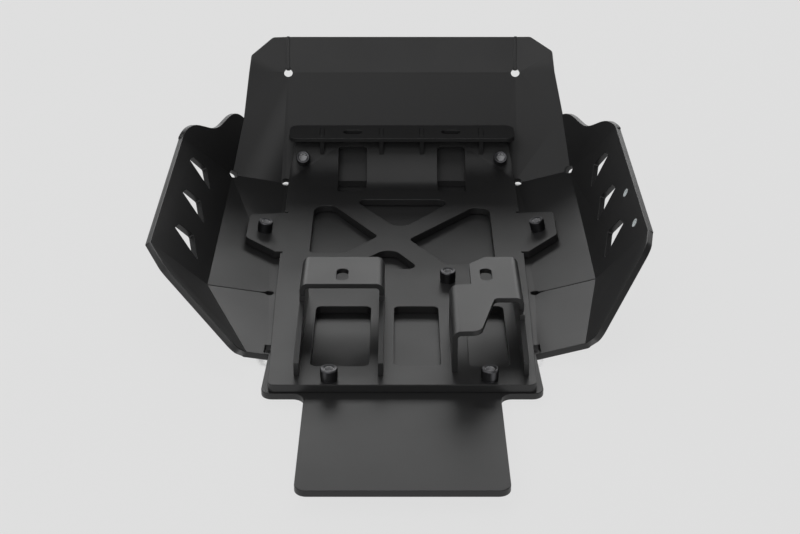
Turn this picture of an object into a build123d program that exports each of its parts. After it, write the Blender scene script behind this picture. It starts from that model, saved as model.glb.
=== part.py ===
"""Motorcycle skid plate.

A folded sheet tray goes under the engine. A thicker plate is screwed on its floor, and carries a crossbar on
four gussets at the nose and two folded brackets at the rear.

Millimetres. +Z is up, +Y runs to the nose and +X to the right, seen from behind. The origin lies on the
underside of the tray's flat floor, on the centre line, at the shallow cross fold.
"""
import math
import os

from build123d import *

# Sheet thicknesses
tray_sheet = 5.0
support_sheet = 6.5
bracket_sheet = 4.0
bar_sheet = 4.0
gusset_sheet = 4.0

# Clearances
floor_gap = 0.5
fit_gap = 0.1
bar_gap = 0.3
flange_gap = 5.1

# Tray: flat floor and its folds
floor_half = 110.0
floor_length = 215.4
rear_rise = 2.8
rear_fold_half = 102.6
side_rear_edge = 106.5
nose_angle = 47.0
nose_length = 112.5
lip_angle = 65.5
lip_height = 34.5

# Tray: side floors and outer walls
side_width = 51.3
left_side_angle = 9.0
right_side_angle = 15.3
wall_turn = 50.0
left_wall_height = 71.5
right_wall_height = 75.5
left_wall_front = 165.0
right_wall_front = 157.0
left_wall_rear = 42.0
right_wall_rear = 46.5

# Tray: strips beside the nose, and the lip's corners
left_strip_turn = 5.4
right_strip_turn = 11.0
strip_top_width = 37.7
left_scallop_foot = (41.6, 64.8)
right_scallop_foot = (44.6, 66.7)
lip_corner_width = 35.5
left_lip_corner_height = 15.4
right_lip_corner_height = 18.3
lip_bevel_width = 14.5
lip_bevel_drop = 1.0
lip_corner_radii = (4.0, 6.0)

# Tray: scalloped corner edge, as shares of its length and heights over its chord
scallop_peak_share = 0.18
scallop_dip_share = 0.43
scallop_crest_share = 0.80
left_scallop_heights = (6.2, -1.3, 7.3)
right_scallop_heights = (0.6, -5.6, 3.4)

# Tray: rear wings, in their own plane, along the fold and up from it
left_rear_side_width = 16.4
right_rear_side_width = 37.0
left_wing_shoulder = (65.7, 76.0)
right_wing_shoulder = (69.4, 78.6)
wing_tip_run = 13.0
wing_tip_rise = 16.5
wing_tip_radius = 9.0
wing_shoulder_radius = 18.0

# Tray: rear floor and tongue
rear_floor_half = 104.2
shoulder_reach = 166.4
tongue_half = 72.0
tongue_reach = 293.5
rear_corner_radius = 8.5

# Tray: relief holes, slots and seams
crease_hole = 7.0
corner_hole = 8.4
seam_width = 0.8
seam_depth = 1.4
seam_mouth = 3.4
seam_mouth_run = 9.0
seam_land = 0.5
lip_seam_width = 1.6
lip_seam_depth = 0.9
relief_slot_width = 6.2
relief_slot_length = 13.0
relief_slot_land = 2.6
relief_slot_shift = 0.6
relief_slot_radius = 1.0

# Tray: vents in the outer walls
vent_count = 3
vent_pitch = 63.0
vent_drop = 2.65
vent_set_back = 20.0
vent_height = 56.2
vent_shape = ((0.0, 0.0), (12.4, -3.7), (23.0, -21.8), (-3.8, -33.5))
vent_corner = 1.5
guard_hole = 5.5
guard_hole_front = 43.8
guard_hole_spacing = 55.8
guard_hole_height = 63.4

# Support plate: outline
plate_front_half = 106.8
plate_fold_half = 103.8
plate_rear_half = 98.7
plate_rear_reach = 164.5
plate_rear_radius = 5.0
flange_height = 39.7
flange_top_half = 101.0
flange_corner_radius = 7.0
plate_windows = ((-59.8, -33.3), (33.7, 59.7))
plate_window_run = 23.6
plate_window_bridge = 5.7
plate_window_radius = 3.0

# Support plate: tabs
tab_rear = 61.5
tab_front = 137.5
tab_tip_rear = 81.0
tab_tip_front = 125.0
tab_reach = 27.0
tab_slit_width = 2.5
tab_slit_reach = 103.0
tab_slit_past = 4.0
tab_corner_radius = 6.0

# Support plate: pockets and rear cut-outs, each corner as (x, y, radius)
left_pocket = ((-79.6, 58.9, 5.0), (-79.6, 152.5, 12.0), (-62.2, 152.5, 9.0), (-21.3, 90.7, 4.5), (-48.7, 58.9, 8.0))
nose_pocket = ((-44.4, 165.0, 6.0), (49.3, 165.0, 8.0), (-2.1, 103.2, 11.4))
right_pocket = ((6.5, 84.5, 4.0), (79.4, 164.2, 10.6), (79.4, 38.0, 6.0), (37.8, 38.0, 8.0))
rear_pocket = ((-48.0, 30.0, 6.0), (-9.9, 70.2, 11.6), (15.2, 30.0, 5.5))
cut_out_front = 37.0
cut_out_bridge = 28.5
cut_out_radius = 5.0
cut_outs = ((-68.9, -25.0), (-6.3, 28.9), (50.3, 81.0))

# Crossbar and gussets
bar_half = 106.5
bar_near_run = 4.9
bar_lift = 4.0
bar_corner_radius = 8.0
bar_slot_spacing = 93.0
bar_slot_length = 18.0
bar_slot_width = 9.0
bar_slot_inset = 15.7
gusset_places = (-75.5, -19.3, 19.0, 75.0)
gusset_foot = 25.7
gusset_inset = 5.4
gusset_tab_inset = 3.0

# Brackets
bracket_height = 34.0
bracket_bend = 6.5
bracket_front = 15.6
bracket_rear_inset = 13.5
bracket_slot_width = 9.4
bracket_slot_length = 21.4
bracket_slot_reach = 48.5
left_bracket_near = 65.8
left_bracket_sides = (-80.3, -14.0)
left_bracket_slot = -47.2
right_bracket_sides = (36.8, 93.6)
right_bracket_slot = 66.1
right_bracket_step = 53.6
right_bracket_step_reach = 66.0
right_bracket_bevel = 13.0
right_bracket_near = 90.5
right_bracket_wall_inset = 4.5
right_bracket_neck = 58.0
right_bracket_neck_run = 12.8
right_bracket_notch = 1.7
right_bracket_radii = (2.0, 3.0, 5.0, 9.0)
rib_overlap = 5.0
rib_ledge_height = 24.0
rib_front_height = 20.0
rib_rear_height = 10.5
left_rib_ledge = 2.0
right_rib_ledge = 9.4

# Fasteners
screw_diameter = 8.0
head_diameter = 13.0
head_height = 8.0
hex_across_flats = 6.0
hex_depth = 4.5
head_chamfer = 0.8
washer_diameter = 12.7
washer_height = 1.6
nut_diameter = 12.0
screw_end_gap = 0.5
spacer_diameter = 16.0
tab_screw = (11.6, 98.0)
flange_screw = (93.0, 20.2)
rear_screw_places = (-53.9, 64.3)
rear_screw_inset = 8.0
centre_screw = (38.0, 9.0)

# A point in the open space over the floor, that every panel faces
middle_of_space = Vector(0, floor_length / 3, nose_length)

# How far a cutter runs past what it cuts
over_cut = 10.0


def rising(angle):
    """Unit vector forwards and up, at this angle to the floor."""
    return Vector(0, math.cos(math.radians(angle)), math.sin(math.radians(angle)))


def leaning(sign, angle):
    """Unit vector to one side and up, at this angle to the floor."""
    return Vector(sign * math.cos(math.radians(angle)), 0, math.sin(math.radians(angle)))


def outward(a, b, c):
    """Unit normal of the plane through three points, away from the space inside the tray."""
    normal = (b - a).cross(c - a).normalized()
    if normal.dot(middle_of_space - a) > 0:
        normal = normal * -1
    return normal


def face_of(points, radii=None):
    """Flat face with these corners, and a radius for each where it is given."""
    radii = radii or [0] * len(points)
    return make_face(FilletPolyline(*points, radius=radii, close=True))


def panel(points, normal, sheet, radii=None):
    """Flat panel of a folded sheet: the points lie on its inner face."""
    return extrude(face_of(points, radii), amount=sheet, dir=normal)


def fold(start, end, first, second, sheet):
    """Bend between two panels with these outward normals: a sector round the inner crease."""
    middle = (first + second).normalized()
    arc = ThreePointArc(start + first * sheet, start + middle * sheet, start + second * sheet)
    section = make_face([Line(start, arc @ 0), arc, Line(arc @ 1, start)])
    return extrude(section, amount=(end - start).length, dir=(end - start).normalized())


def knuckle(centre, crease_ends, sheet):
    """Round corner where several bends meet."""
    ball = Pos(*centre) * Sphere(sheet)
    for crease_end in crease_ends:
        ball = split(ball, bisect_by=Plane(origin=centre, z_dir=crease_end - centre), keep=Keep.BOTTOM)
    return ball


def drill(centre, axis, diameter, depth):
    """Round cutter along an axis, centred on a point."""
    return Plane(origin=centre, z_dir=axis) * Cylinder(diameter / 2, depth)


def through(points, normal, depth, radii=None):
    """Straight cutter through a sheet, on both sides of the face with these corners."""
    return extrude(face_of(points, radii), amount=depth, dir=normal, both=True)


# The rear floor's plane, with +Y forwards along it and Z at right angles to it
rear_normal = Vector(0, math.sin(math.radians(rear_rise)), math.cos(math.radians(rear_rise)))
rear_floor = Plane(origin=(0, 0, tray_sheet), x_dir=(1, 0, 0), z_dir=rear_normal)
rear_deck = rear_floor.offset(support_sheet)


class Side:
    """Fold points of one side of the tray, on its inner face."""

    def __init__(self, sign, side_angle, wall_height, wall_front, wall_rear, strip_turn, scallop_foot,
                 scallop_heights, lip_corner_height, rear_side_width, wing_shoulder):
        self.sign = sign
        self.side_angle = side_angle
        self.scallop_heights = scallop_heights
        nose_up = rising(nose_angle)
        turn = math.radians(strip_turn)
        lean = math.radians(nose_angle)
        across = Vector(sign * math.cos(turn), -math.sin(turn) * math.sin(lean), math.sin(turn) * math.cos(lean))

        # Floor corner, front crease, outer crease
        self.cross = Vector(sign * floor_half, 0, tray_sheet)
        self.front = Vector(sign * floor_half, floor_length, tray_sheet)
        self.side_lean = leaning(sign, side_angle)
        self.outer = self.cross + self.side_lean * side_width

        # Where the outer crease meets the strip beside the nose
        run = side_width * math.cos(math.radians(side_angle)) / math.cos(turn)
        rise = side_width * math.sin(math.radians(side_angle)) - run * math.sin(turn) * math.cos(lean)
        self.outer_front = self.front + across * run + nose_up * (rise / math.sin(lean))

        # Strip, nose top and lip
        self.foot = self.front + across * scallop_foot[0] + nose_up * scallop_foot[1]
        self.nose_top = self.front + nose_up * nose_length
        self.strip_top = self.nose_top + across * strip_top_width
        lip_up = rising(lip_angle)
        self.lip_side = self.nose_top + across * lip_corner_width + lip_up * lip_corner_height
        self.lip_bevel = self.nose_top + across * lip_bevel_width + lip_up * (lip_height - lip_bevel_drop)
        self.lip_top = self.nose_top + lip_up * lip_height

        # Outer wall
        self.wall_up = leaning(sign, side_angle + wall_turn)
        wall_top = self.outer + self.wall_up * wall_height
        self.wall_front = wall_top + Vector(0, wall_front, 0)
        self.wall_rear = wall_top - Vector(0, wall_rear, 0)

        # Rear side floor: its rear edge runs level with the fold's end
        slope = math.tan(math.radians(rear_rise))
        self.rear_fold = Vector(sign * rear_fold_half, -side_rear_edge, tray_sheet + side_rear_edge * slope)
        self.rear_side_normal = outward(self.cross, self.outer, self.rear_fold)
        normal = self.rear_side_normal
        edge = Vector(sign, 0, -sign * normal.X / normal.Z)
        self.rear_outer = self.rear_fold + edge * rear_side_width

        # Rear wing
        self.wing_along = (self.rear_outer - self.outer).normalized()
        reach = self.wall_rear - self.outer
        self.wing_up = (reach - self.wing_along * reach.dot(self.wing_along)).normalized()
        self.wing_tip = self.rear_outer + self.wing_along * wing_tip_run + self.wing_up * wing_tip_rise
        self.wing_shoulder = self.outer + self.wing_along * wing_shoulder[0] + self.wing_up * wing_shoulder[1]

        # Outward normals
        self.side_normal = outward(self.cross, self.front, self.outer)
        self.strip_normal = outward(self.front, self.nose_top, self.strip_top)
        self.wall_normal = outward(self.outer, self.outer_front, self.wall_front)
        self.scallop_normal = outward(self.outer_front, self.foot, self.wall_front)
        self.lip_corner_normal = outward(self.nose_top, self.strip_top, self.lip_top)
        self.wing_normal = outward(self.outer, self.rear_outer, self.wall_rear)


left = Side(-1, left_side_angle, left_wall_height, left_wall_front, left_wall_rear, left_strip_turn,
            left_scallop_foot, left_scallop_heights, left_lip_corner_height, left_rear_side_width,
            left_wing_shoulder)
right = Side(1, right_side_angle, right_wall_height, right_wall_front, right_wall_rear, right_strip_turn,
             right_scallop_foot, right_scallop_heights, right_lip_corner_height, right_rear_side_width,
             right_wing_shoulder)
sides = (left, right)

floor_normal = Vector(0, 0, -1)
nose_normal = outward(left.front, right.front, left.nose_top)
lip_normal = outward(left.nose_top, right.nose_top, left.lip_top)


def scalloped_corner(side):
    """Panel that closes the corner between outer wall and nose, with its wavy free edge."""
    chord = side.wall_front - side.foot
    along = chord.normalized()
    rise = along.cross(side.scallop_normal).normalized()
    if rise.Z < 0:
        rise = rise * -1
    shares = (scallop_peak_share, scallop_dip_share, scallop_crest_share)
    waves = [side.foot + chord * share + rise * height for share, height in zip(shares, side.scallop_heights)]
    edge = Spline(side.foot, *waves, side.wall_front)
    outline = [Line(side.outer_front, side.foot), edge, Line(side.wall_front, side.outer_front)]
    return extrude(make_face(outline), amount=tray_sheet, dir=side.scallop_normal)


def tray_side(side):
    """Panels, bends and corners of one side of the tray."""
    sheet = tray_sheet
    rear_out = rear_normal * -1
    wing_radii = [0, 0, wing_tip_radius, wing_shoulder_radius, 0]
    wing = [side.outer, side.rear_outer, side.wing_tip, side.wing_shoulder, side.wall_rear]
    other_cross = side.cross - Vector(2 * side.cross.X, 0, 0)
    other_front = side.front - Vector(2 * side.front.X, 0, 0)
    other_top = side.nose_top - Vector(2 * side.nose_top.X, 0, 0)
    return [
        panel([side.cross, side.front, side.outer_front, side.outer], side.side_normal, sheet),
        panel([side.front, side.nose_top, side.strip_top, side.foot, side.outer_front], side.strip_normal, sheet),
        panel([side.nose_top, side.strip_top, side.lip_side, side.lip_bevel, side.lip_top],
              side.lip_corner_normal, sheet, [0, 0, *lip_corner_radii, 0]),
        panel([side.outer, side.outer_front, side.wall_front, side.wall_rear], side.wall_normal, sheet),
        panel([side.cross, side.outer, side.rear_outer, side.rear_fold], side.rear_side_normal, sheet),
        panel(wing, side.wing_normal, sheet, wing_radii),
        scalloped_corner(side),
        fold(side.cross, side.front, floor_normal, side.side_normal, sheet),
        fold(side.front, side.nose_top, nose_normal, side.strip_normal, sheet),
        fold(side.front, side.outer_front, side.side_normal, side.strip_normal, sheet),
        fold(side.nose_top, side.strip_top, side.strip_normal, side.lip_corner_normal, sheet),
        fold(side.nose_top, side.lip_top, lip_normal, side.lip_corner_normal, sheet),
        fold(side.outer, side.outer_front, side.side_normal, side.wall_normal, sheet),
        fold(side.outer_front, side.wall_front, side.wall_normal, side.scallop_normal, sheet),
        fold(side.outer_front, side.foot, side.scallop_normal, side.strip_normal, sheet),
        fold(side.cross, side.outer, side.side_normal, side.rear_side_normal, sheet),
        fold(side.cross, side.rear_fold, rear_out, side.rear_side_normal, sheet),
        fold(side.outer, side.rear_outer, side.rear_side_normal, side.wing_normal, sheet),
        fold(side.outer, side.wall_rear, side.wall_normal, side.wing_normal, sheet),
        knuckle(side.cross, [side.front, other_cross, side.rear_fold, side.outer], sheet),
        knuckle(side.front, [side.cross, other_front, side.nose_top, side.outer_front], sheet),
        knuckle(side.outer_front, [side.front, side.outer, side.wall_front, side.foot], sheet),
        knuckle(side.nose_top, [side.front, other_top, side.strip_top, side.lip_top], sheet),
        knuckle(side.outer, [side.cross, side.outer_front, side.wall_rear, side.rear_outer], sheet),
    ]


def rear_floor_outline():
    """Rear floor and tongue, flat in the rear floor's own plane."""
    fold_reach = side_rear_edge / math.cos(math.radians(rear_rise))
    half = [
        (floor_half, 0, 0),
        (rear_fold_half, -fold_reach, 0),
        (rear_floor_half, -shoulder_reach, rear_corner_radius),
        (tongue_half, -shoulder_reach, rear_corner_radius),
        (tongue_half, -tongue_reach, rear_corner_radius),
    ]
    return half + [(-x, y, radius) for x, y, radius in reversed(half)]


def on_plane(plane, corners):
    """Points and radii of an outline given flat as (x, y, radius)."""
    points = [plane.from_local_coords(Vector(x, y, 0)) for x, y, radius in corners]
    radii = [radius for x, y, radius in corners]
    return points, radii


def relief_slot(side):
    """Slot between rear floor and side floor, at the rear end of their fold."""
    rear = relief_slot_land - side_rear_edge / math.cos(math.radians(rear_rise))
    front = rear + relief_slot_length
    x = side.sign * (rear_fold_half + relief_slot_shift)
    half = relief_slot_width / 2
    radius = relief_slot_radius
    corners = [(x - half, front, radius), (x + half, front, radius), (x + half, rear, radius), (x - half, rear, radius)]
    points, radii = on_plane(rear_floor, corners)
    return through(points, rear_normal, 3 * tray_sheet, radii)


def side_seam(side):
    """Closed dart in the side floor: an open mouth at the relief hole, then a butt line to the outer crease."""
    normal = (side.side_normal + side.rear_side_normal).normalized()
    start = side.cross
    mouth = side.cross + side.side_lean * seam_mouth_run
    end = side.cross + side.side_lean * (side_width - seam_land)
    wide = Vector(0, seam_mouth / 2, 0)
    thin = Vector(0, seam_width / 2, 0)
    wedge = through([start + wide, mouth + thin, mouth - thin, start - wide], normal, 2 * tray_sheet)
    line = through([mouth + thin, end + thin, end - thin, mouth - thin], normal, seam_depth)
    return wedge + line


def lip_seam(side):
    """Line of the butt joint in the lip, from the hole at the top of the nose to the free edge."""
    thin = Vector(lip_seam_width / 2, 0, 0)
    top = side.lip_top + rising(lip_angle) * over_cut
    return through([side.nose_top - thin, side.nose_top + thin, top + thin, top - thin], lip_normal,
                   lip_seam_depth)


def relief_holes(side):
    """Round holes where the creases meet."""
    depth = 6 * tray_sheet
    floor_axis = side.side_normal + floor_normal
    front_axis = floor_normal + nose_normal + side.side_normal + side.strip_normal
    outer_axis = side.side_normal + side.strip_normal + side.wall_normal + side.scallop_normal
    top_axis = nose_normal + lip_normal + side.strip_normal
    return [
        drill(side.cross, floor_axis, crease_hole, depth),
        drill(side.front, front_axis, corner_hole, depth),
        drill(side.outer_front, outer_axis, corner_hole, depth),
        drill(side.nose_top, top_axis, corner_hole, depth),
    ]


def wall_point(side, along, height):
    """Point on the inner face of the outer wall."""
    return side.outer + Vector(0, along, 0) + side.wall_up * height


def vents(side):
    """Row of slanted vents in the outer wall."""
    cutters = []
    first = side.wall_front.Y - vent_set_back
    for index in range(vent_count):
        along = first - index * vent_pitch
        height = vent_height - index * vent_drop
        points = [wall_point(side, along + x, height + y) for x, y in vent_shape]
        cutters.append(through(points, side.wall_normal, 2 * tray_sheet, [vent_corner] * len(points)))
    return cutters


def guard_holes():
    """Two small holes near the top edge of the right wall."""
    places = [guard_hole_front, guard_hole_front - guard_hole_spacing]
    return [drill(wall_point(right, y, guard_hole_height), right.wall_normal, guard_hole, 4 * tray_sheet)
            for y in places]


# Support plate: its creases, on its upper face, follow from the gaps under it
support_top = tray_sheet + floor_gap + support_sheet
rise_angle = math.radians(rear_rise)
lean_angle = math.radians(nose_angle)
support_cross = (support_sheet - (support_top - tray_sheet) * math.cos(rise_angle)) / math.sin(rise_angle)
flange_set_back = (flange_gap + support_sheet) / math.sin(lean_angle)
support_front = floor_length + (support_top - tray_sheet) / math.tan(lean_angle) - flange_set_back
flange_foot = Vector(0, support_front, support_top)
flange_up = rising(nose_angle)
flange_top = flange_foot + flange_up * flange_height


def tab_crease(side):
    """Distance of a tab's crease from the centre line, for the same gap under the tab as under the plate."""
    lean = math.radians(side.side_angle)
    rise = (support_top - tray_sheet) * math.cos(lean) - support_sheet - floor_gap
    return floor_half + rise / math.sin(lean)


def tab_plane(side):
    """Upper face of a tab, from its crease outwards."""
    origin = Vector(side.sign * tab_crease(side), 0, support_top)
    return Plane(origin=origin, x_dir=side.side_lean, z_dir=side.side_normal * -1)


def support_tab(side):
    """Folded tab that lies over the side floor, with its neck and bend."""
    crease = Vector(side.sign * tab_crease(side), tab_rear, support_top)
    crease_end = Vector(side.sign * tab_crease(side), tab_front, support_top)
    tip = side.side_lean * tab_reach
    tip_rear = Vector(crease.X, tab_tip_rear, support_top) + tip
    tip_front = Vector(crease.X, tab_tip_front, support_top) + tip
    root = Vector(side.sign * tab_slit_reach, tab_rear, support_top)
    root_end = Vector(side.sign * tab_slit_reach, tab_front, support_top)
    return [
        panel([root, crease, crease_end, root_end], floor_normal, support_sheet),
        panel([crease, tip_rear, tip_front, crease_end], side.side_normal, support_sheet,
              [0, tab_corner_radius, tab_corner_radius, 0]),
        fold(crease, crease_end, floor_normal, side.side_normal, support_sheet),
    ]


def tab_slits(side):
    """Narrow slits at both ends of a tab's neck."""
    cutters = []
    for start in (tab_rear - tab_slit_width, tab_front):
        inner = side.sign * tab_slit_reach
        outer = side.sign * (tab_crease(side) + tab_slit_past)
        end = start + tab_slit_width
        points = [Vector(inner, start, support_top), Vector(outer, start, support_top),
                  Vector(outer, end, support_top), Vector(inner, end, support_top)]
        cutters.append(through(points, floor_normal, 2 * support_sheet))
    return cutters


def plate_window(low, high):
    """Window through the front crease: from the flat floor up into the flange."""
    run = Vector(0, plate_window_run, 0)
    low_edge = Vector(low, support_front, support_top) - run
    width = Vector(high - low, 0, 0)
    rise = flange_up * (flange_height - plate_window_bridge)
    crease = low_edge + run
    floor_part = through([low_edge, low_edge + width, crease + width, crease], floor_normal, 2 * support_sheet,
                         [plate_window_radius, plate_window_radius, 0, 0])
    flange_part = through([crease, crease + width, crease + width + rise, crease + rise], nose_normal,
                          1.5 * support_sheet, [0, 0, plate_window_radius, plate_window_radius])
    return [floor_part, flange_part]


def pocket(corners):
    """Cutter for one of the openings in the plate's front half."""
    points = [Vector(x, y, support_top) for x, y, radius in corners]
    return through(points, floor_normal, 2 * support_sheet, [radius for x, y, radius in corners])


def cut_out(low, high):
    """Cutter for one of the windows in the plate's rear half."""
    rear = cut_out_bridge - plate_rear_reach
    corners = [(low, rear, cut_out_radius), (high, rear, cut_out_radius),
               (high, -cut_out_front, cut_out_radius), (low, -cut_out_front, cut_out_radius)]
    points, radii = on_plane(rear_deck, corners)
    return through(points, rear_normal, 2 * support_sheet, radii)


def support_body():
    """The support plate's panels and bends, before its holes."""
    sheet = support_sheet
    rear_out = rear_normal * -1
    cross = [Vector(sign * plate_fold_half, support_cross, support_top) for sign in (-1, 1)]
    front = [Vector(sign * plate_front_half, support_front, support_top) for sign in (-1, 1)]
    top = [Vector(sign * flange_top_half, flange_top.Y, flange_top.Z) for sign in (-1, 1)]
    rear, rear_radii = on_plane(rear_deck, [(-plate_rear_half, -plate_rear_reach, plate_rear_radius),
                                            (plate_rear_half, -plate_rear_reach, plate_rear_radius)])
    pieces = [
        panel([cross[0], cross[1], front[1], front[0]], floor_normal, sheet),
        panel([front[0], front[1], top[1], top[0]], nose_normal, sheet,
              [0, 0, flange_corner_radius, flange_corner_radius]),
        panel([cross[1], cross[0], rear[0], rear[1]], rear_out, sheet, [0, 0] + rear_radii),
        fold(cross[0], cross[1], floor_normal, rear_out, sheet),
        fold(front[0], front[1], floor_normal, nose_normal, sheet),
    ]
    for side in sides:
        pieces += support_tab(side)
    return pieces[0] + pieces[1:]


def fastener_places():
    """Each screw's seat on the support plate's upper face, its axis up, and the gap between the two sheets."""
    places = []
    for side in sides:
        seat = tab_plane(side).from_local_coords(Vector(tab_screw[0], 0, 0)) + Vector(0, tab_screw[1], 0)
        places.append((seat, side.side_normal * -1, floor_gap))
    for sign in (-1, 1):
        seat = flange_foot + Vector(sign * flange_screw[0], 0, 0) + flange_up * flange_screw[1]
        places.append((seat, nose_normal * -1, flange_gap))
    for x in rear_screw_places:
        seat = rear_deck.from_local_coords(Vector(x, rear_screw_inset - plate_rear_reach, 0))
        places.append((seat, rear_normal, 0))
    places.append((Vector(centre_screw[0], centre_screw[1], support_top), Vector(0, 0, 1), floor_gap))
    return places


def along(seat, axis):
    """Plane at a screw's seat, with Z up its axis."""
    return Plane(origin=seat, z_dir=axis)


def ring(diameter, hole, height):
    """Flat ring that stands on the plane's origin."""
    align = (Align.CENTER, Align.CENTER, Align.MIN)
    return Cylinder(diameter / 2, height, align=align) - Cylinder(hole / 2, height, align=align)


def socket_screw(gap):
    """Cap screw with a hexagon socket, its head resting on the washer."""
    length = washer_height + support_sheet + gap + tray_sheet - screw_end_gap
    head = Pos(0, 0, washer_height) * Cylinder(head_diameter / 2, head_height,
                                               align=(Align.CENTER, Align.CENTER, Align.MIN))
    head = chamfer(head.edges().group_by(Axis.Z)[-1], head_chamfer)
    shank = Pos(0, 0, washer_height) * Cylinder(screw_diameter / 2, length,
                                                align=(Align.CENTER, Align.CENTER, Align.MAX))
    hexagon = Pos(0, 0, washer_height + head_height) * RegularPolygon(hex_across_flats / 2, 6, major_radius=False)
    return head + shank - extrude(hexagon, amount=-hex_depth)


def build_skid_plate():
    """The folded tray."""
    sheet = tray_sheet
    rear_points, rear_radii = on_plane(rear_floor, rear_floor_outline())
    pieces = [
        panel([left.cross, right.cross, right.front, left.front], floor_normal, sheet),
        panel([left.front, right.front, right.nose_top, left.nose_top], nose_normal, sheet),
        panel([left.nose_top, right.nose_top, right.lip_top, left.lip_top], lip_normal, sheet),
        panel(rear_points, rear_normal * -1, sheet, rear_radii),
        fold(left.cross, right.cross, floor_normal, rear_normal * -1, sheet),
        fold(left.front, right.front, floor_normal, nose_normal, sheet),
        fold(left.nose_top, right.nose_top, nose_normal, lip_normal, sheet),
    ]
    cutters = guard_holes()
    for side in sides:
        pieces += tray_side(side)
        cutters += relief_holes(side) + vents(side) + [relief_slot(side), side_seam(side), lip_seam(side)]
    for seat, axis, gap in fastener_places():
        centre = seat - axis * (support_sheet + gap + tray_sheet / 2)
        cutters.append(drill(centre, axis, nut_diameter + 2 * fit_gap, 2 * tray_sheet))
    return pieces[0] + pieces[1:] - cutters


def build_support_plate():
    """The thicker plate on the floor."""
    cutters = [pocket(corners) for corners in (left_pocket, nose_pocket, right_pocket, rear_pocket)]
    cutters += [cut_out(low, high) for low, high in cut_outs]
    for low, high in plate_windows:
        cutters += plate_window(low, high)
    for side in sides:
        cutters += tab_slits(side)
    for seat, axis, gap in fastener_places():
        cutters.append(drill(seat - axis * (support_sheet / 2), axis, screw_diameter + 2 * fit_gap,
                             2 * support_sheet))
    return support_body() - cutters


# Crossbar: its levels and depth, from the front crease
bar_near = floor_length + bar_near_run
bar_under = flange_top.Z + bar_lift
bar_far = floor_length + (bar_under - tray_sheet) / math.tan(lean_angle) - bar_gap / math.sin(lean_angle)
gusset_near = (flange_foot + flange_up * gusset_foot).Y
gusset_far = bar_far - gusset_inset
gusset_tab_near = gusset_near + gusset_tab_inset
gusset_tab_far = gusset_far - gusset_tab_inset


def build_crossbar():
    """Flat bar on the gussets, with two slots and the openings that take the gussets' tabs."""
    depth = bar_far - bar_near
    plate = Pos(0, bar_near + depth / 2, bar_under) * extrude(
        RectangleRounded(2 * bar_half, depth, bar_corner_radius), amount=bar_sheet)
    slot_y = bar_near + bar_slot_inset
    slot = extrude(SlotOverall(bar_slot_length, bar_slot_width), amount=3 * bar_sheet, both=True)
    cutters = [Pos(sign * bar_slot_spacing / 2, slot_y, bar_under) * slot for sign in (-1, 1)]
    tab_depth = gusset_tab_far - gusset_tab_near + 2 * fit_gap
    tab_middle = (gusset_tab_far + gusset_tab_near) / 2
    for x in gusset_places:
        cutters.append(Pos(x, tab_middle, bar_under) * Box(gusset_sheet + 2 * fit_gap, tab_depth, 4 * bar_sheet))
    return plate - cutters


def build_gusset(x):
    """Upright plate: a slanted foot on the flange, an arm over its top edge, and a tab through the bar."""
    foot = flange_foot + flange_up * gusset_foot
    outline = [
        (foot.Y, foot.Z),
        (flange_top.Y, flange_top.Z),
        (gusset_far, flange_top.Z),
        (gusset_far, bar_under),
        (gusset_tab_far, bar_under),
        (gusset_tab_far, bar_under + bar_sheet),
        (gusset_tab_near, bar_under + bar_sheet),
        (gusset_tab_near, bar_under),
        (foot.Y, bar_under),
    ]
    points = [Vector(x - gusset_sheet / 2, y, z) for y, z in outline]
    return extrude(face_of(points), amount=gusset_sheet, dir=(1, 0, 0))


# Brackets: where their ribs end, behind the cross fold
bracket_rear = plate_rear_reach - bracket_rear_inset


def channel(low, high):
    """Inverted channel along the rear deck, from the brackets' front to their rear."""
    top = bracket_height
    inner = bracket_bend - bracket_sheet
    outside = [(low, 0, 0), (low, top, bracket_bend), (high, top, bracket_bend), (high, 0, 0)]
    inside = [(low + bracket_sheet, 0, 0), (low + bracket_sheet, top - bracket_sheet, inner),
              (high - bracket_sheet, top - bracket_sheet, inner), (high - bracket_sheet, 0, 0)]
    section = Plane(origin=(0, -bracket_front, 0), x_dir=(1, 0, 0), z_dir=(0, -1, 0))
    length = bracket_rear - bracket_front
    solids = []
    for corners in (outside, inside):
        points, radii = on_plane(section, corners)
        solids.append(extrude(face_of(points, radii), amount=length, dir=(0, -1, 0)))
    return solids[0] - solids[1]


def side_cutter(low, high, near, ledge):
    """Everything over a wall's rib, behind the top plate's near edge: a short level ledge, a drop and a slope."""
    clear = bracket_height + over_cut
    past = bracket_rear + over_cut
    profile = [
        (-near, clear),
        (-near, rib_ledge_height),
        (-near - ledge, rib_ledge_height),
        (-near - ledge, rib_front_height),
        (-bracket_rear, rib_rear_height),
        (-past, rib_rear_height),
        (-past, clear),
    ]
    points = [Vector(low, y, z) for y, z in profile]
    return extrude(face_of(points), amount=high - low, dir=(1, 0, 0))


def bracket_slot(x):
    """Slot in a bracket's top plate."""
    slot = extrude(SlotOverall(bracket_slot_length, bracket_slot_width, rotation=90), amount=3 * bracket_sheet,
                   both=True)
    return Pos(x, -bracket_slot_reach, bracket_height) * slot


def build_bracket_left():
    """Folded bracket: a slotted top plate and two walls that run on as ribs."""
    low, high = left_bracket_sides
    body = channel(low, high) - side_cutter(low - over_cut, high + over_cut, left_bracket_near, left_rib_ledge)
    return rear_deck * (body - bracket_slot(left_bracket_slot))


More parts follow.
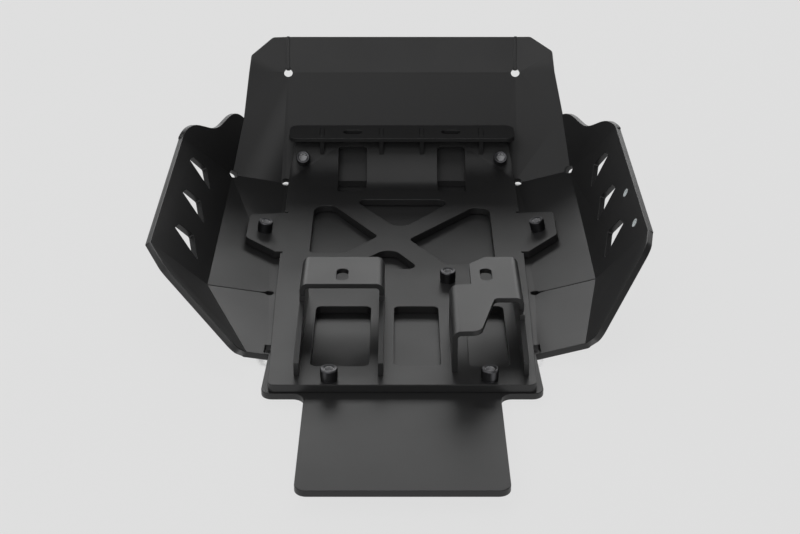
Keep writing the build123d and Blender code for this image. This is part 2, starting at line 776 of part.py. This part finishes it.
def right_bracket_plan():
    """Top plate of the right bracket from above, with its stepped front and its S-shaped near edge."""
    low, high = right_bracket_sides
    step_radius, bevel_radius, near_radius, neck_radius = right_bracket_radii
    wall_rear = bracket_rear - right_bracket_wall_inset
    return [
        (right_bracket_step, -right_bracket_step_reach, step_radius),
        (right_bracket_step, -bracket_front - right_bracket_bevel, bevel_radius),
        (right_bracket_step + right_bracket_bevel, -bracket_front, bevel_radius),
        (high + over_cut, -bracket_front, 0),
        (high + over_cut, -right_bracket_near, 0),
        (right_bracket_neck + right_bracket_neck_run, -right_bracket_near, near_radius),
        (right_bracket_neck, right_bracket_notch - wall_rear, neck_radius),
        (low - over_cut, -wall_rear, 0),
        (low - over_cut, -right_bracket_step_reach - right_bracket_notch, 0),
    ]


def build_bracket_right():
    """Folded bracket: a stepped top plate, a full left wall and a right wall that runs on as a rib."""
    low, high = right_bracket_sides
    points, radii = on_plane(Plane.XY, right_bracket_plan())
    kept = extrude(face_of(points, radii), amount=bracket_height, dir=(0, 0, 1))
    rib = channel(low, high) - side_cutter(low - over_cut, high + over_cut, right_bracket_near, right_rib_ledge)
    rib_length = bracket_rear - right_bracket_near + rib_overlap
    rib_block = Box(over_cut, rib_length, bracket_height, align=(Align.MIN, Align.MIN, Align.MIN))
    rib = rib & Pos(high - 2 * bracket_sheet, -bracket_rear, 0) * rib_block
    body = (channel(low, high) & kept) + rib
    return rear_deck * (body - bracket_slot(right_bracket_slot))


def build_all():
    """Every piece by its node name."""
    pieces = {
        "skid_plate": build_skid_plate(),
        "support_plate": build_support_plate(),
        "crossbar": build_crossbar(),
        "bracket_left": build_bracket_left(),
        "bracket_right": build_bracket_right(),
    }
    for index, x in enumerate(gusset_places, start=1):
        pieces[f"gusset_{index}"] = build_gusset(x)
    hole = screw_diameter + 2 * fit_gap
    for index, (seat, axis, gap) in enumerate(fastener_places(), start=1):
        pieces[f"screw_{index}"] = along(seat, axis) * socket_screw(gap)
        pieces[f"washer_{index}"] = along(seat, axis) * ring(washer_diameter, hole, washer_height)
        nut_seat = seat - axis * (support_sheet + gap + tray_sheet)
        pieces[f"nut_{index}"] = along(nut_seat, axis) * ring(nut_diameter, hole, tray_sheet)
        if gap > floor_gap:
            spacer_seat = seat - axis * (support_sheet + gap)
            side_name = "left" if seat.X < 0 else "right"
            pieces[f"spacer_{side_name}"] = along(spacer_seat, axis) * ring(spacer_diameter, hole, gap)
    return pieces


os.makedirs("parts", exist_ok=True)
for node, shape in build_all().items():
    export_step(shape, f"parts/{node}.step")
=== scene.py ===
# %% [markdown]
# # A motorcycle skid plate in satin black
#
# The real plate is cut from flat aluminium sheet, folded on a press, welded at its corners and powder
# coated. Its sizes are settled already, so this lesson loads the solids as a fixed frame and gives them
# their finish: softened cut edges, weld beads, real screws, and a powder coat with its fine orange peel.

# %% Load the frame
import math

import bmesh
import bpy
from mathutils import Matrix, Vector


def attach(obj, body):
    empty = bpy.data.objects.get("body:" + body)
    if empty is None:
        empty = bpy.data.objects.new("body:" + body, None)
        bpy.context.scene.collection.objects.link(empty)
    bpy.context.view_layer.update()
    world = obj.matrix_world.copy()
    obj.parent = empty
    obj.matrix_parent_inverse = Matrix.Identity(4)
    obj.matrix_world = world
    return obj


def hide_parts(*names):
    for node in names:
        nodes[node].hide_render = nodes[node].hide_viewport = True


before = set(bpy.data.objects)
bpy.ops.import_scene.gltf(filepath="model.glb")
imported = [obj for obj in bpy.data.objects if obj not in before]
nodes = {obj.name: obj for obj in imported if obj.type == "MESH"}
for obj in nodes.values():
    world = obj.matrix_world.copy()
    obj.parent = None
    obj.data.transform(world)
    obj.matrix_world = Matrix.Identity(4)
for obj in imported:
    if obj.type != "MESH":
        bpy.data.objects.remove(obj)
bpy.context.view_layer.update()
MM = 0.001
print("pieces in the frame:", len(nodes))

# %% [markdown]
# ## The camera
#
# The photo looks along the plate from behind its tongue, 28 degrees down, through a long lens. The lens
# is worked out from the focal length in pixels, so that the picture's width of 800 pixels fits.

# %% Camera
PICTURE_WIDTH = 800
FOCAL_PIXELS = 1550
SENSOR = 36.0
CAMERA_PITCH = 28.1
CAMERA_PLACE = Vector((-1.7, -1122.6, 629.0)) * MM

camera_data = bpy.data.cameras.new("camera")
camera_data.sensor_width = SENSOR
camera_data.lens = FOCAL_PIXELS * SENSOR / PICTURE_WIDTH
camera_data.clip_end = 50
camera = bpy.data.objects.new("camera", camera_data)
camera.location = CAMERA_PLACE
camera.rotation_euler = (math.radians(90 - CAMERA_PITCH), 0, 0)
bpy.context.scene.collection.objects.link(camera)
bpy.context.scene.camera = camera
print("lens", round(camera_data.lens, 2))

# %% [markdown]
# ## Stage
#
# The background is one pale grey, with no horizon. The floor glows in that grey to the camera and in
# reflections, and still takes a trace of shadow. A plain lit floor could do it too, but it would need far
# more light on the object. Close under the tray the glow is dimmed by ambient occlusion, so that holes
# which look down on the floor there stay dark.

# %% Stage
BACKGROUND = (0.765, 0.765, 0.765, 1)
SHADOW_SHARE = 0.08
UNDER_REACH = 6.5 * MM
OPEN_SHARES = (0.6, 0.88)
FLOOR_HALF = 12


def stage_material():
    """Glows to camera, glossy and transmission rays, less so close under the tray, and is matte to others."""
    material = bpy.data.materials.new("stage")
    material.use_nodes = True
    tree = material.node_tree
    tree.nodes.clear()
    output = tree.nodes.new("ShaderNodeOutputMaterial")
    glow = tree.nodes.new("ShaderNodeEmission")
    glow.inputs["Color"].default_value = BACKGROUND
    matte = tree.nodes.new("ShaderNodeBsdfDiffuse")
    matte.inputs["Color"].default_value = BACKGROUND
    path = tree.nodes.new("ShaderNodeLightPath")
    seen = tree.nodes.new("ShaderNodeMath")
    seen.operation = "MAXIMUM"
    through = tree.nodes.new("ShaderNodeMath")
    through.operation = "MAXIMUM"
    share = tree.nodes.new("ShaderNodeMath")
    share.operation = "MULTIPLY"
    share.inputs[1].default_value = 1 - SHADOW_SHARE
    hollow = tree.nodes.new("ShaderNodeAmbientOcclusion")
    hollow.inputs["Distance"].default_value = UNDER_REACH
    hollow.samples = 8
    under = tree.nodes.new("ShaderNodeMapRange")
    under.inputs["From Min"].default_value = OPEN_SHARES[0]
    under.inputs["From Max"].default_value = OPEN_SHARES[1]
    tree.links.new(hollow.outputs["AO"], under.inputs["Value"])
    tree.links.new(under.outputs["Result"], glow.inputs["Strength"])
    mix = tree.nodes.new("ShaderNodeMixShader")
    tree.links.new(path.outputs["Is Camera Ray"], seen.inputs[0])
    tree.links.new(path.outputs["Is Glossy Ray"], seen.inputs[1])
    tree.links.new(seen.outputs[0], through.inputs[0])
    tree.links.new(path.outputs["Is Transmission Ray"], through.inputs[1])
    tree.links.new(through.outputs[0], share.inputs[0])
    tree.links.new(share.outputs[0], mix.inputs["Fac"])
    tree.links.new(matte.outputs["BSDF"], mix.inputs[1])
    tree.links.new(glow.outputs["Emission"], mix.inputs[2])
    tree.links.new(mix.outputs["Shader"], output.inputs["Surface"])
    return material


def make_floor():
    """Wide floor that the tray rests on."""
    bm = bmesh.new()
    bmesh.ops.create_grid(bm, x_segments=1, y_segments=1, size=FLOOR_HALF)
    mesh = bpy.data.meshes.new("floor")
    bm.to_mesh(mesh)
    bm.free()
    floor = bpy.data.objects.new("floor", mesh)
    floor.data.materials.append(stage_material())
    bpy.context.scene.collection.objects.link(floor)
    return floor


print("stage:", make_floor().name)

# %% [markdown]
# ## Room and lamps
#
# Black powder coat shows mostly what it reflects, so the room is designed as a set of reflections: pale
# at the horizon, darker overhead, and with a few large soft lamps. From this low angle the tray's floor
# reflects what lies low beyond the nose, so two long strips stand there. The lip looks back at the camera
# and has a lamp of its own behind it. Each lamp is placed by the direction that it comes from, which is
# easier to reason about than coordinates, and is bright by its radiance, so that its size can change and
# its reflection stay the same.

# %% Room
HORIZON = 0.737
ZENITH = 0.1
PALE_BELOW = 0.12
DARK_ABOVE = 0.4


def make_room():
    """World that is pale at the horizon and darker overhead."""
    world = bpy.data.worlds.new("room")
    world.use_nodes = True
    tree = world.node_tree
    background = tree.nodes["Background"]
    place = tree.nodes.new("ShaderNodeTexCoord")
    split = tree.nodes.new("ShaderNodeSeparateXYZ")
    height = tree.nodes.new("ShaderNodeMapRange")
    height.interpolation_type = "SMOOTHSTEP"
    height.inputs["From Min"].default_value = PALE_BELOW
    height.inputs["From Max"].default_value = DARK_ABOVE
    height.inputs["To Min"].default_value = HORIZON
    height.inputs["To Max"].default_value = ZENITH
    tree.links.new(place.outputs["Generated"], split.inputs[0])
    tree.links.new(split.outputs["Z"], height.inputs["Value"])
    tree.links.new(height.outputs["Result"], background.inputs["Color"])
    background.inputs["Strength"].default_value = 1.0
    bpy.context.scene.world = world
    return world


print("world:", make_room().name)
bpy.context.scene.view_settings.view_transform = "Standard"

# %% Lamps
LAMP_DISTANCE = 2.5
LAMP_AIM = Vector((0, 0, 0.05))


def soft_box(name, azimuth, elevation, size, radiance):
    """Rectangular lamp that faces the tray, hidden from the camera. Azimuth 0 is beyond the nose, 90 left."""
    turn = math.radians(azimuth)
    rise = math.radians(elevation)
    way = Vector((-math.cos(rise) * math.sin(turn), math.cos(rise) * math.cos(turn), math.sin(rise)))
    data = bpy.data.lights.new(name, "AREA")
    data.shape = "RECTANGLE"
    data.size, data.size_y = size
    data.energy = radiance * math.pi * size[0] * size[1]
    lamp = bpy.data.objects.new(name, data)
    lamp.location = LAMP_AIM + way * LAMP_DISTANCE
    lamp.rotation_euler = (way * -1).to_track_quat("-Z", "Y").to_euler()
    lamp.visible_camera = False
    bpy.context.scene.collection.objects.link(lamp)
    return lamp


soft_box("low_strip", 0, 12.5, (2.6, 0.66), 1.7)
soft_box("front_box", 0, 25.5, (2.6, 0.62), 1.8)
soft_box("overhead_box", 0, 89.9, (1.6, 1.6), 1.0)
soft_box("left_box", 90, 30, (2.0, 1.0), 0.7)
soft_box("rear_box", 168, 52, (2.4, 1.0), 0.2)
soft_box("rear_left_box", 140, 45, (1.4, 1.0), 1.6)
soft_box("lip_box", 180, 29, (2.4, 0.4), 2.4)
print("lamps:", len(bpy.data.lights))

# %% [markdown]
# ## Powder coat
#
# Powder coat is a baked plastic skin over the aluminium. It is nearly black and satin, and its surface
# has a fine orange peel. Plastic reflects little straight on and more at a low angle, which the shader
# does by its index of refraction, so the colour itself stays almost black.

# %% Powder coat
TONE = 0.02
SATIN = 0.4
PEEL = 0.5
PEEL_DEPTH = 0.02 * MM
PEEL_SCALE = 700
DRIFT = 0.025
DRIFT_SCALE = 18
MIDDLE_OF_NOISE = (0.3, 0.7)


def noise(tree, scale, detail):
    """Noise on the object's own coordinates, in metres."""
    place = tree.nodes.new("ShaderNodeTexCoord")
    texture = tree.nodes.new("ShaderNodeTexNoise")
    texture.inputs["Scale"].default_value = scale
    texture.inputs["Detail"].default_value = detail
    tree.links.new(place.outputs["Object"], texture.inputs["Vector"])
    return texture.outputs["Fac"]


def spread(tree, value, low, high):
    """Maps a noise value from its usual range to a range of the finish."""
    node = tree.nodes.new("ShaderNodeMapRange")
    node.inputs["From Min"].default_value = MIDDLE_OF_NOISE[0]
    node.inputs["From Max"].default_value = MIDDLE_OF_NOISE[1]
    node.inputs["To Min"].default_value = low
    node.inputs["To Max"].default_value = high
    tree.links.new(value, node.inputs["Value"])
    return node.outputs["Result"]


def powder_coat(name):
    """Satin black powder coat: slight drift in gloss and a fine orange peel."""
    material = bpy.data.materials.new(name)
    material.use_nodes = True
    tree = material.node_tree
    shader = tree.nodes["Principled BSDF"]
    shader.inputs["Base Color"].default_value = (TONE, TONE, TONE * 1.02, 1)
    shader.inputs["IOR"].default_value = 1.5
    drift = spread(tree, noise(tree, DRIFT_SCALE, 3), SATIN - DRIFT, SATIN + DRIFT)
    tree.links.new(drift, shader.inputs["Roughness"])
    bump = tree.nodes.new("ShaderNodeBump")
    bump.inputs["Strength"].default_value = PEEL
    bump.inputs["Distance"].default_value = PEEL_DEPTH
    tree.links.new(noise(tree, PEEL_SCALE, 2), bump.inputs["Height"])
    tree.links.new(bump.outputs["Normal"], shader.inputs["Normal"])
    return material


tray_coat = powder_coat("tray_powder_coat")
support_coat = powder_coat("support_powder_coat")
bracket_coat = powder_coat("bracket_powder_coat")
print("coats:", tray_coat.name, support_coat.name, bracket_coat.name)

# %% [markdown]
# ## Steel and nylon
#
# The cap screws are black oxide: dark, a little oily and smoother than the coat. Their sockets are painted
# pale and made only part metal, a painted glint that gives them a dull, scattered shine. The clinch nuts are
# zinc plated. The small guard holes are lined with pale bluish white tubes, with no metal in them at all, and
# that pale colour is painted light: it stands in for the bright backdrop seen through the holes. One helper
# makes all four, because they differ only in colour, roughness and how metallic they are.

# %% Steel and nylon
def plain_finish(name, colour, roughness, metallic=1.0):
    """One even finish, a metal unless it is told otherwise."""
    material = bpy.data.materials.new(name)
    material.use_nodes = True
    shader = material.node_tree.nodes["Principled BSDF"]
    shader.inputs["Base Color"].default_value = (*colour, 1)
    shader.inputs["Metallic"].default_value = metallic
    shader.inputs["Roughness"].default_value = roughness
    return material


black_oxide = plain_finish("black_oxide", (0.09, 0.09, 0.095), 0.35)
# The sockets' pale, part-metal colour is a painted glint.
socket_painted_glint = plain_finish("socket_painted_glint", (0.42, 0.42, 0.43), 0.5, 0.3)
zinc = plain_finish("zinc", (0.62, 0.64, 0.68), 0.32)
# Pale bluish white, painted light: it stands in for the bright backdrop seen through the guard holes.
hole_backdrop_painted_light = plain_finish("hole_backdrop_painted_light", (0.8, 0.85, 0.86), 0.45, 0.0)
print("plain finishes:", black_oxide.name, socket_painted_glint.name, zinc.name, hole_backdrop_painted_light.name)

# %% [markdown]
# ## Softened sheets
#
# A laser leaves the sheet's edges sharp, but deburring and the coat round them by about half a
# millimetre, and that rounding catches the light along every edge. Each plate of the frame is copied, its
# triangles are merged into flat faces, and its outer edges are bevelled. A Bevel modifier would round the
# loose triangles' edges too, so the merging comes first, and the operator then takes only the edges that
# are named to it.

# %% Softened sheets
EDGE_ROUND = 0.5 * MM
BAR_ROUND = 0.4 * MM
BRACKET_ROUND = 0.3 * MM
CUT_ANGLE = math.radians(35)
MERGE = 0.005 * MM
FLAT = math.radians(0.3)


def merged_copy(node):
    """Mesh of a CAD node with its loose triangles joined into flat faces."""
    bm = bmesh.new()
    bm.from_mesh(node.data)
    bmesh.ops.remove_doubles(bm, verts=bm.verts, dist=MERGE)
    bmesh.ops.dissolve_limit(bm, angle_limit=FLAT, verts=bm.verts, edges=bm.edges)
    return bm


def cut_edges(bm):
    """Outer edges where two faces meet sharply."""
    edges = []
    for edge in bm.edges:
        if not edge.is_manifold or not edge.is_convex:
            continue
        if edge.calc_face_angle() > CUT_ANGLE:
            edges.append(edge)
    return edges


BROAD = 1.2 * MM
ALWAYS_SHARP = math.radians(50)
SHARP_IF_BROAD = math.radians(1.5)


def crease_broad_faces(bm):
    """Sharp shading at every cut edge, and at the creases between broad flat faces; bends stay smooth."""
    broad = {face: 2 * face.calc_area() / face.calc_perimeter() > BROAD for face in bm.faces}
    for face in bm.faces:
        face.smooth = True
    for edge in bm.edges:
        if not edge.is_manifold:
            continue
        angle = edge.calc_face_angle()
        both = broad[edge.link_faces[0]] and broad[edge.link_faces[1]]
        edge.smooth = not (angle > ALWAYS_SHARP or both and angle > SHARP_IF_BROAD)


def finish_mesh(bm, name, materials):
    """New object from a bmesh, smooth with sharp creases, lit by its large faces."""
    crease_broad_faces(bm)
    mesh = bpy.data.meshes.new(name)
    bm.to_mesh(mesh)
    bm.free()
    for material in materials:
        mesh.materials.append(material)
    piece = bpy.data.objects.new(name, mesh)
    bpy.context.scene.collection.objects.link(piece)
    weighted = piece.modifiers.new("large_faces_lead", "WEIGHTED_NORMAL")
    weighted.keep_sharp = True
    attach(piece, "root")
    return piece


def soften(name, node_name, material, width):
    """Bevelled stand-in for one plate of the frame."""
    bm = merged_copy(nodes[node_name])
    edges = cut_edges(bm)
    bmesh.ops.bevel(bm, geom=edges, offset=width, offset_type="OFFSET", segments=2, profile=0.5,
                    affect="EDGES", clamp_overlap=False, material=-1)
    piece = finish_mesh(bm, name, [material])
    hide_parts(node_name)
    print(name, "edges", len(edges), "faces", len(piece.data.polygons))
    return piece


soften("folded_tray", "skid_plate", tray_coat, EDGE_ROUND)
soften("inner_plate", "support_plate", support_coat, EDGE_ROUND)
soften("nose_bar", "crossbar", support_coat, BAR_ROUND)
soften("left_bracket", "bracket_left", bracket_coat, BRACKET_ROUND)
soften("right_bracket", "bracket_right", bracket_coat, BRACKET_ROUND)
for index in range(1, 5):
    soften(f"bar_gusset_{index}", f"gusset_{index}", support_coat, BAR_ROUND)

# %% [markdown]
# ## Cap screws
#
# Seven M8 socket head cap screws hold the inner plate. A real head has a knurled side, a chamfered rim, a
# shallow countersink and a hexagon socket. The head is built as a stack of rings, each extruded from the
# last, with every second point of the knurled rings pulled in. Bridging finished rings looks simpler, but
# two rings in one plane can be joined across the disc, and an extruded ring always knows its neighbour.

# %% Rings
HEAD_POINTS = 72
KNURL = 0.28 * MM
STEP = math.radians(360) / HEAD_POINTS


def place_ring(verts, radius, height, shape="round"):
    """Moves a ring's points: round, knurled with every second point pulled in, or drawn in to a hexagon."""
    for vert in verts:
        turn = math.atan2(vert.co.y, vert.co.x)
        reach = radius
        if shape == "knurled" and round(turn / STEP) % 2:
            reach = radius - KNURL
        if shape == "hexagon":
            off_flat = turn % math.radians(60) - math.radians(30)
            reach = radius * math.cos(math.radians(30)) / math.cos(off_flat)
        vert.co = Vector((reach * math.cos(turn), reach * math.sin(turn), height))


def stack(bm, rings, closed=False):
    """Extrudes one ring into the next. The ends are capped, or joined when the stack is a closed tube."""
    verts = bmesh.ops.create_circle(bm, cap_ends=not closed, segments=HEAD_POINTS, radius=1)["verts"]
    edges = list(bm.edges)
    place_ring(verts, *rings[0])
    for values in rings[1:] + rings[:1] * closed:
        grown = bmesh.ops.extrude_edge_only(bm, edges=edges)["geom"]
        verts = [item for item in grown if isinstance(item, bmesh.types.BMVert)]
        edges = [item for item in grown if isinstance(item, bmesh.types.BMEdge)]
        place_ring(verts, *values)
    if closed:
        bmesh.ops.remove_doubles(bm, verts=bm.verts, dist=0.001 * MM)
    else:
        bmesh.ops.contextual_create(bm, geom=edges)
    bmesh.ops.recalc_face_normals(bm, faces=bm.faces)
    return bm


# %% One cap screw
WASHER = 1.6 * MM
HEAD_TOP = WASHER + 8.0 * MM
HEAD_RADIUS = 6.5 * MM
SHANK_RADIUS = 4.0 * MM
SHANK_CHAMFER = 0.7 * MM
INNER_PLATE = 6.5 * MM
TRAY_REACH = 4.5 * MM
HEX_CORNER = 3.46 * MM
SOCKET_DEPTH = 3.4 * MM
SOCKET_TIP = 4.2 * MM
SOCKET_GLINT_ZONE = 6 * MM


def cap_screw(name, seat, axis, gap):
    """Knurled cap screw on its seat, its shank down through both plates."""
    end = -(INNER_PLATE + gap * MM + TRAY_REACH)
    rings = [
        (SHANK_RADIUS - SHANK_CHAMFER, end),
        (SHANK_RADIUS, end + SHANK_CHAMFER),
        (SHANK_RADIUS, WASHER),
        (HEAD_RADIUS - 0.3 * MM, WASHER),
        (HEAD_RADIUS - 0.15 * MM, WASHER + 0.4 * MM),
        (HEAD_RADIUS, WASHER + 0.8 * MM, "knurled"),
        (HEAD_RADIUS, HEAD_TOP - 1.1 * MM, "knurled"),
        (HEAD_RADIUS - 0.1 * MM, HEAD_TOP - 0.8 * MM),
        (HEAD_RADIUS - 0.7 * MM, HEAD_TOP),
        (HEAD_RADIUS - 1.8 * MM, HEAD_TOP),
        (HEX_CORNER + 0.2 * MM, HEAD_TOP - 0.6 * MM),
        (HEX_CORNER, HEAD_TOP - 0.8 * MM, "hexagon"),
        (HEX_CORNER, HEAD_TOP - SOCKET_DEPTH, "hexagon"),
        (0.6 * MM, HEAD_TOP - SOCKET_TIP),
    ]
    bm = stack(bmesh.new(), rings)
    # Faces inside the socket take the second material, the socket's painted glint.
    for face in bm.faces:
        middle = face.calc_center_median()
        if middle.z > HEAD_TOP - SOCKET_GLINT_ZONE and math.hypot(middle.x, middle.y) < HEX_CORNER:
            face.material_index = 1
    turn = Vector(axis).to_track_quat("Z", "X").to_matrix().to_4x4()
    bmesh.ops.transform(bm, matrix=Matrix.Translation(Vector(seat) * MM) @ turn, verts=bm.verts)
    return finish_mesh(bm, name, [black_oxide, socket_painted_glint])


# %% Seven cap screws
SCREWS = (
    ((-120.906, 98.0, 13.815), (0.15643, 0, 0.98769), 0.5),
    ((120.249, 98.0, 15.061), (-0.26387, 0, 0.96456), 0.5),
    ((-93.0, 219.843, 26.773), (0, -0.73135, 0.682), 5.1),
    ((93.0, 219.843, 26.773), (0, -0.73135, 0.682), 5.1),
    ((-53.9, -155.996, 19.137), (0, 0.04885, 0.99881), 0),
    ((64.3, -155.996, 19.137), (0, 0.04885, 0.99881), 0),
    ((38.0, 9.0, 12.0), (0, 0, 1), 0.5),
)
for index, (seat, axis, gap) in enumerate(SCREWS, start=1):
    piece = cap_screw(f"cap_screw_{index}", seat, axis, gap)
    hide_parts(f"screw_{index}")
print("cap screws:", len(SCREWS))

# %% [markdown]
# ## Weld beads
#
# The lip's corners are separate flaps that meet the nose in a butt weld, from the round hole at the top
# of the nose to the free edge. A bead is a flattened rod, sunk to its middle in the sheet, with the faint
# ripples that the torch leaves.

# %% Weld beads
BEAD_SIDES = 16
BEAD_WIDTH = 3.4 * MM
CUTS_A_RIPPLE = 4
SWELL = 0.12
END_RUN = 3


def weld_bead(name, start, end, normal, width, height, sink, ripples, taper, material):
    """Flattened, rippled rod from start to end, with steep flanks, its lower half sunk in the sheet."""
    start = Vector(start) * MM
    end = Vector(end) * MM
    along = (end - start).normalized()
    normal = Vector(normal)
    across = along.cross(normal).normalized()
    bm = bmesh.new()
    bmesh.ops.create_cone(bm, cap_ends=True, segments=BEAD_SIDES, radius1=1, radius2=1, depth=1)
    runs = [edge for edge in bm.edges if abs(edge.verts[0].co.z - edge.verts[1].co.z) > 0.5]
    bmesh.ops.subdivide_edges(bm, edges=runs, cuts=ripples * CUTS_A_RIPPLE)
    length = (end - start).length
    for vert in bm.verts:
        share = vert.co.z + 0.5
        swell = 1 + SWELL * math.sin(share * ripples * 2 * math.pi)
        close = min(1, taper + END_RUN * min(share, 1 - share))
        side = across * (vert.co.x * width / 2 * close)
        steep = math.copysign(abs(vert.co.y) ** 0.5, vert.co.y)
        rise = normal * (steep * height * swell * close - sink)
        vert.co = start + along * (share * length) + side + rise
    bmesh.ops.recalc_face_normals(bm, faces=bm.faces)
    piece = finish_mesh(bm, name, [material])
    return piece


LIP_ANGLE = math.radians(65.5)
LIP_NORMAL = (0, -math.sin(LIP_ANGLE), math.cos(LIP_ANGLE))
for side_name, x in (("left", -110), ("right", 110)):
    weld_bead(f"{side_name}_lip_bead", (x, 293.5, 90.3), (x, 306.6, 119.05), LIP_NORMAL,
              BEAD_WIDTH, 0.55 * MM, 0.1 * MM, 9, 0.75, tray_coat)
    weld_bead(f"{side_name}_lip_bead_foot", (x, 293.0, 89.2), (x, 294.2, 91.8), LIP_NORMAL,
              BEAD_WIDTH, 2.6 * MM, 2.2 * MM, 1, 0.85, tray_coat)
    print("beads on the", side_name)

# %% [markdown]
# ## Linings of the guard holes
#
# The two small holes near the right wall's top edge are lined with pale bushes, whose pale bluish white is
# painted light: it stands in for the bright backdrop seen through the holes. Each is a short tube between two
# thin rims, extruded ring by ring and joined to its start.

# %% Linings
WALL_TURN = math.radians(65.3)
WALL_NORMAL = Vector((math.sin(WALL_TURN), 0, -math.cos(WALL_TURN)))
SHEET = 5.0 * MM
BORE = 2.55 * MM
TUBE = 2.72 * MM
RIM = 3.6 * MM
RIM_FACE = 0.25 * MM
CLEAR = 0.02 * MM


def lining(name, place):
    """Short tube through the wall with a thin rim on each side."""
    rings = [
        (BORE, RIM_FACE),
        (RIM, RIM_FACE),
        (RIM, CLEAR),
        (TUBE, CLEAR),
        (TUBE, -SHEET - CLEAR),
        (RIM, -SHEET - CLEAR),
        (RIM, -SHEET - RIM_FACE),
        (BORE, -SHEET - RIM_FACE),
    ]
    bm = stack(bmesh.new(), rings, closed=True)
    turn = (WALL_NORMAL * -1).to_track_quat("Z", "Y").to_matrix().to_4x4()
    bmesh.ops.transform(bm, matrix=Matrix.Translation(Vector(place) * MM) @ turn, verts=bm.verts)
    piece = finish_mesh(bm, name, [hole_backdrop_painted_light])
    print(name, "faces", len(piece.data.polygons))
    return piece


# Both linings carry the painted light of the backdrop seen through the holes.
lining("front_lining_painted_light", (185.975, 43.8, 76.136))
lining("rear_lining_painted_light", (185.975, -12.0, 76.136))

# %% [markdown]
# ## Plain pieces
#
# The washers, clinch nuts and spacers are turned parts that hardly show. Their solids are plain rings and
# sleeves already, so they stay as they came and only take a finish.

# %% Plain pieces of the frame
plain = [name for name, node in nodes.items() if not node.hide_render]
for name in plain:
    materials = nodes[name].data.materials
    materials.clear()
    materials.append(black_oxide if name.startswith(("screw", "washer")) else zinc)
print("plain pieces:", len(plain))
